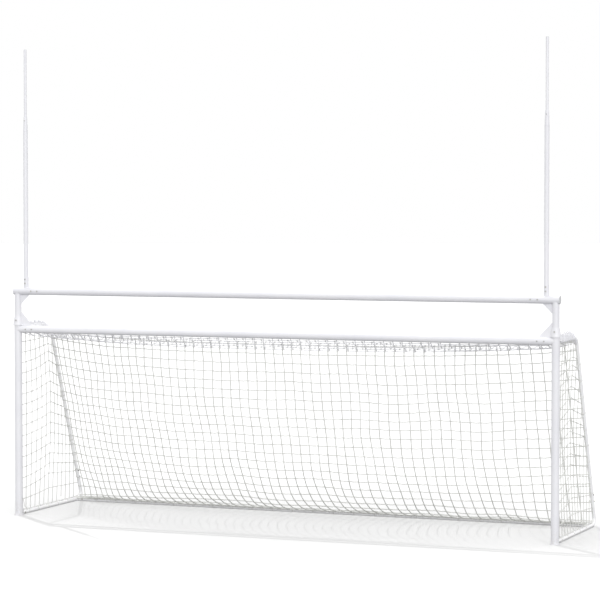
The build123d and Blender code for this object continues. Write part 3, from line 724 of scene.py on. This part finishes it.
for side, sign in SIDES.items():
    cords(f"side_border_rope_{side}", [frame_loop(sign)], ROPE_R, ROPE, sides=2, closed=True, smooth=True)


def rail_rope():
    """The hem rope along the rear rail, through the lugs' eyes, which lean forward."""
    reach = STAY_R + EYE
    y, z = REAR_Y - reach * cos(REAR_LUG_ANGLE), RAIL_Z + reach * sin(REAR_LUG_ANGLE)
    xs = np.linspace(-POST_X + 0.05, POST_X - 0.05, 49)
    return [Vector((x, y, z - 0.004 * abs(sin(pi * i / 4)))) for i, x in enumerate(xs)]


def head_rope():
    xs = np.linspace(-POST_X + POST_R + 0.01, POST_X - POST_R - 0.01, 49)
    return [Vector((x, GOAL_LINE + HEAD_DEPTH, HEAD_Z)) for x in xs]


cords("rear_hem_rope", [rail_rope()], ROPE_R, ROPE, sides=2, smooth=True)
cords("head_rope", [head_rope()], ROPE_R, ROPE, sides=2, smooth=True)

# %% [markdown]
# Cord lashings tie the rope to the stays, the depth bars and the rails. Each is two turns of thin
# cord round the tube and the rope together, pulled tight, so a turn is the outline of two circles
# with a string round them.

# %% Lashings
LASH_R = 0.0026
LASH_STEPS = 20
STAY_LASH_HEIGHTS = np.linspace(0.45, 2.15, 9)
TOP_LASH_DEPTHS = (0.22, 0.48, 0.66)
RAIL_LASH_DEPTHS = (0.25, 0.52, 0.80, 1.08, 1.36)
REAR_LASH_COUNT, REAR_LASH_INSET = 24, 0.32


def lashing(centre, axis, toward, rope_at):
    """Two closed turns round a tube and the rope that lies rope_at from its axis."""
    centre, axis, toward = Vector(centre), Vector(axis).normalized(), Vector(toward).normalized()
    across = axis.cross(toward)
    turns = []
    for shift in (-1.1 * LASH_R, 1.1 * LASH_R):
        turn = []
        for step in range(LASH_STEPS):
            angle = 2 * pi * step / LASH_STEPS
            out = toward * cos(angle) + across * sin(angle)
            round_tube, round_rope = STAY_R + LASH_R, rope_at * cos(angle) + ROPE_R + LASH_R
            point = centre + axis * shift + out * round_tube
            if round_rope > round_tube:
                point = centre + axis * shift + toward * rope_at + out * (ROPE_R + LASH_R)
            turn.append(Vector((point.x, point.y, max(point.z, LASH_R))))
        turns.append(turn)
    return turns


def side_lashings(sign):
    """The turns of every lashing on one side frame."""
    stay_way = Vector((0, STAY_LEAN, -1)).normalized()
    forward = Vector((0, -1, -STAY_LEAN)).normalized()
    x, turns = sign * POST_X, []
    for z in STAY_LASH_HEIGHTS:
        turns += lashing((x, GOAL_LINE + stay_depth(z), z), stay_way, forward, ROPE_OFFSET)
    for depth in TOP_LASH_DEPTHS:
        turns += lashing((x, GOAL_LINE + depth, CROSSBAR_Z), (0, 1, 0), (0, 0, -1), ROPE_OFFSET)
    for depth in RAIL_LASH_DEPTHS:
        turns += lashing((x, GOAL_LINE + depth, RAIL_Z), (0, 1, 0), (0, 0, 1), ROPE_OFFSET)
    return turns


for side, sign in SIDES.items():
    cords(f"side_lashings_{side}", side_lashings(sign), LASH_R, ROPE, closed=True)


# %% [markdown]
# The net has more cloth than the top corner needs, and the spare is wound round the depth bar in
# loose turns. Each turn stands off above the bar and is tight below it, most in the middle, and
# the last turns lean down with the bend.

# %% Spare net wound round the depth bars
BUNDLE_STEPS, BUNDLE_TURNS, BUNDLE_SWELL = 480, 21, 0.078
BUNDLE_START, BUNDLE_RUN = 0.11, 0.77
BUNDLE_LEAN_FROM, BUNDLE_LEAN = 0.76, 0.5


def corner_bundle(sign):
    """The twine of the spare corner, from the post to the bend."""
    line = []
    tight = STAY_R + LASH_R
    for step in range(BUNDLE_STEPS):
        share = step / (BUNDLE_STEPS - 1)
        depth, angle = BUNDLE_START + BUNDLE_RUN * share, 2 * pi * BUNDLE_TURNS * share
        uneven = 0.75 + 0.25 * sin(5.3 * angle / pi + sign)
        loose = tight + sin(pi * share) * BUNDLE_SWELL * uneven
        lean = max(0.0, depth - BUNDLE_LEAN_FROM) * BUNDLE_LEAN
        z = CROSSBAR_Z - lean + (loose if sin(angle) > 0 else tight) * sin(angle)
        line.append(Vector((sign * POST_X + tight * cos(angle), GOAL_LINE + depth, z)))
    return line


for side, sign in SIDES.items():
    # The bundles take the whiter twine, painted light against the shade of their own coils.
    cords(f"corner_bundle_{side}", [corner_bundle(sign)], SIDE_TWINE_R, PAINTED_LIGHT_TWINE)

# %% [markdown]
# The hem rope is tied to the rear rail in the same way as the sides, at even distances along it.

# %% Lashings of the rear rail
rear_way = (0, -cos(REAR_LUG_ANGLE), sin(REAR_LUG_ANGLE))
rear_turns = []
for x in np.linspace(-POST_X + REAR_LASH_INSET, POST_X - REAR_LASH_INSET, REAR_LASH_COUNT):
    rear_turns += lashing((x, REAR_Y, RAIL_Z), (1, 0, 0), rear_way, ROPE_OFFSET)
cords("rear_lashings", rear_turns, LASH_R, ROPE, closed=True)

# %% [markdown]
# A weld bead follows the line where two pieces meet. Where a tube stands on another tube that line
# is a saddle: each point of the circle drops until it meets the round of the tube below. Under the
# powder coat a bead is a low, smooth ridge, so a cord along the line does it.

# %% Weld beads
BEAD_R = 0.0035
EXTENSION_R = 0.04445  # of the posts between the two crossbars
FOOTBALL_Z = middle("football_crossbar").z
UPRIGHT_X = middle("upright_tube_right").x


def saddle_line(x, tube_r, up, host_z, steps=32):
    """The meeting line of an upright tube with a level one of the posts' size."""
    line = []
    for step in range(steps):
        angle = 2 * pi * step / steps
        across = tube_r * sin(angle)
        rise = (POST_R**2 - across**2) ** 0.5
        line.append(Vector((x + tube_r * cos(angle), GOAL_LINE + across, host_z + up * rise)))
    return line


def ring(x, radius, z, steps=32):
    return [
        Vector((x + radius * cos(2 * pi * i / steps), GOAL_LINE + radius * sin(2 * pi * i / steps), z))
        for i in range(steps)
    ]


foot_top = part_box("foot_plate_right")[1].z
foot_rings = [ring(sign * POST_X, POST_R + BEAD_R / 2, foot_top) for sign in SIDES.values()]
cords("foot_welds", foot_rings, BEAD_R, POWDER_COAT, closed=True, slot="powder_coat")

socket_r = radius_of("upright_socket_right", 0)
football_lines = []
for sign in SIDES.values():
    football_lines.append(saddle_line(sign * POST_X, EXTENSION_R, -1, FOOTBALL_Z))
    football_lines.append(saddle_line(sign * UPRIGHT_X, socket_r, 1, FOOTBALL_Z))
WELD = {"slot": "powder_coat", "closed": True}
cords("football_welds", football_lines, BEAD_R, POWDER_COAT, body="football_section", **WELD)


def gusset_edges(node, sign):
    """The upright edge of a gusset on both of its faces, and on an upper gusset its level edge too."""
    low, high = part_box(node)
    post_side, free_side = (low.x, high.x) if sign < 0 else (high.x, low.x)
    level = high.z if node.startswith("upper") else low.z
    lines = []
    for y in (low.y, high.y):
        lines.append([Vector((post_side, y, z)) for z in np.linspace(low.z + 0.004, high.z - 0.004, 8)])
        if node.startswith("upper"):
            lines.append([Vector((x, y, level)) for x in np.linspace(post_side, free_side, 8)])
    return lines


for name in ("upper_gusset", "lower_gusset"):
    lines = [line for side, sign in SIDES.items() for line in gusset_edges(f"{name}_{side}", sign)]
    cords(f"{name}_welds", lines, BEAD_R * 0.8, POWDER_COAT, slot="powder_coat", body="football_section")

for side, sign in SIDES.items():
    neck_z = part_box(f"upright_tube_{side}")[1].z
    neck = ring(sign * UPRIGHT_X, radius_of("upright_tube_right", 0), neck_z)
    cords(f"neck_weld_{side}", [neck], BEAD_R * 0.6, POWDER_COAT, body=f"upright_{side}", **WELD)

# %% [markdown]
# ## Floor and light
# White tube in front of white only shows by its shading, so the light is set as for a catalogue. The
# sky is white where it is seen and above, and darker below the horizon. The pale floor doesn't pass
# light on, so the undersides of the tubes turn grey as they would over turf. A lamp high behind the
# goal throws the net's shadow towards the field, and a very wide one in front keeps the near faces
# light. Around the goal the floor's colour darkens in a soft pool, a painted shadow under the net.
# The plain display setting keeps white white.

# %% Floor and sky
FLOOR_REACH = 180.0
SHADOW_POOL_WIDTH, SHADOW_POOL_DEPTH = 9.0, 4.6
# Greys of the floor, from its far edge to the middle of a soft pool round the goal: a painted shadow under
# the net.
FLOOR_PAINTED_SHADOW = [
    (0.0, grey(0.91)), (0.3, grey(0.86)), (0.55, grey(0.79)), (0.8, grey(0.75)), (1.0, grey(0.74)),
]
HORIZON_LIGHT, OVERHEAD_LIGHT, GROUND_LIGHT = 1.0, 0.98, 0.33
KEY_LIGHT, KEY_ANGLE = 0.85, radians(0.4)
FILL_LIGHT, FILL_ANGLE = 1.45, radians(60)


def pale_floor():
    clear_selection()
    bpy.ops.mesh.primitive_circle_add(vertices=96, radius=FLOOR_REACH, fill_type="NGON")
    floor = bpy.context.object
    floor.name = "pale_floor"
    floor.visible_diffuse = False
    floor.visible_glossy = False
    material, tree, shader, place = new_material("pale floor", 0.9)
    area = add_node(tree, "ShaderNodeMapping")
    area.inputs["Scale"].default_value = (1 / SHADOW_POOL_WIDTH, 1 / SHADOW_POOL_DEPTH, 0)
    link(tree, place, area.inputs["Vector"])
    painted_shadow = add_node(tree, "ShaderNodeTexGradient", gradient_type="SPHERICAL")
    link(tree, area.outputs["Vector"], painted_shadow.inputs["Vector"])
    colour = ramp(tree, painted_shadow.outputs["Fac"], FLOOR_PAINTED_SHADOW)
    link(tree, colour, shader.inputs["Base Color"])
    shader.inputs["Specular IOR Level"].default_value = 0.0
    floor.data.materials.append(material)


def sky():
    world = bpy.data.worlds.new("sky")
    world.use_nodes = True
    tree = world.node_tree
    background = tree.nodes["Background"]
    coordinates = tree.nodes.new("ShaderNodeTexCoord")
    direction = tree.nodes.new("ShaderNodeSeparateXYZ")
    link(tree, coordinates.outputs["Generated"], direction.inputs["Vector"])
    brightness = tree.nodes.new("ShaderNodeFloatCurve")
    points = brightness.mapping.curves[0].points
    points.new(0.42, GROUND_LIGHT)
    points.new(0.47, HORIZON_LIGHT)
    points.new(0.58, HORIZON_LIGHT)
    points.new(0.68, OVERHEAD_LIGHT)
    for point in points:
        point.handle_type = "VECTOR"
    points[0].location = (0.0, GROUND_LIGHT)
    points[-1].location = (1.0, OVERHEAD_LIGHT)
    brightness.mapping.update()
    share = add_node(tree, "ShaderNodeMapRange")
    share.inputs["From Min"].default_value = -1.0
    link(tree, direction.outputs["Z"], share.inputs["Value"])
    link(tree, share.outputs["Result"], brightness.inputs["Value"])
    link(tree, brightness.outputs["Value"], background.inputs["Strength"])
    background.inputs["Color"].default_value = (1, 1, 1, 1)
    bpy.context.scene.world = world


def lamp(name, light, angle, travel):
    """A distant lamp whose light travels in that direction."""
    data = bpy.data.lights.new(name, "SUN")
    data.energy = light
    data.angle = angle
    holder = bpy.data.objects.new(name, data)
    holder.rotation_euler = Vector(travel).to_track_quat("-Z", "Y").to_euler()
    bpy.context.scene.collection.objects.link(holder)


pale_floor()
sky()
lamp("high_lamp", KEY_LIGHT, KEY_ANGLE, (0.31, -0.27, -1))
lamp("front_lamp", FILL_LIGHT, FILL_ANGLE, (-0.42, 0.85, -0.18))
bpy.context.scene.view_settings.view_transform = "Standard"
print("floor, sky and lamps made")
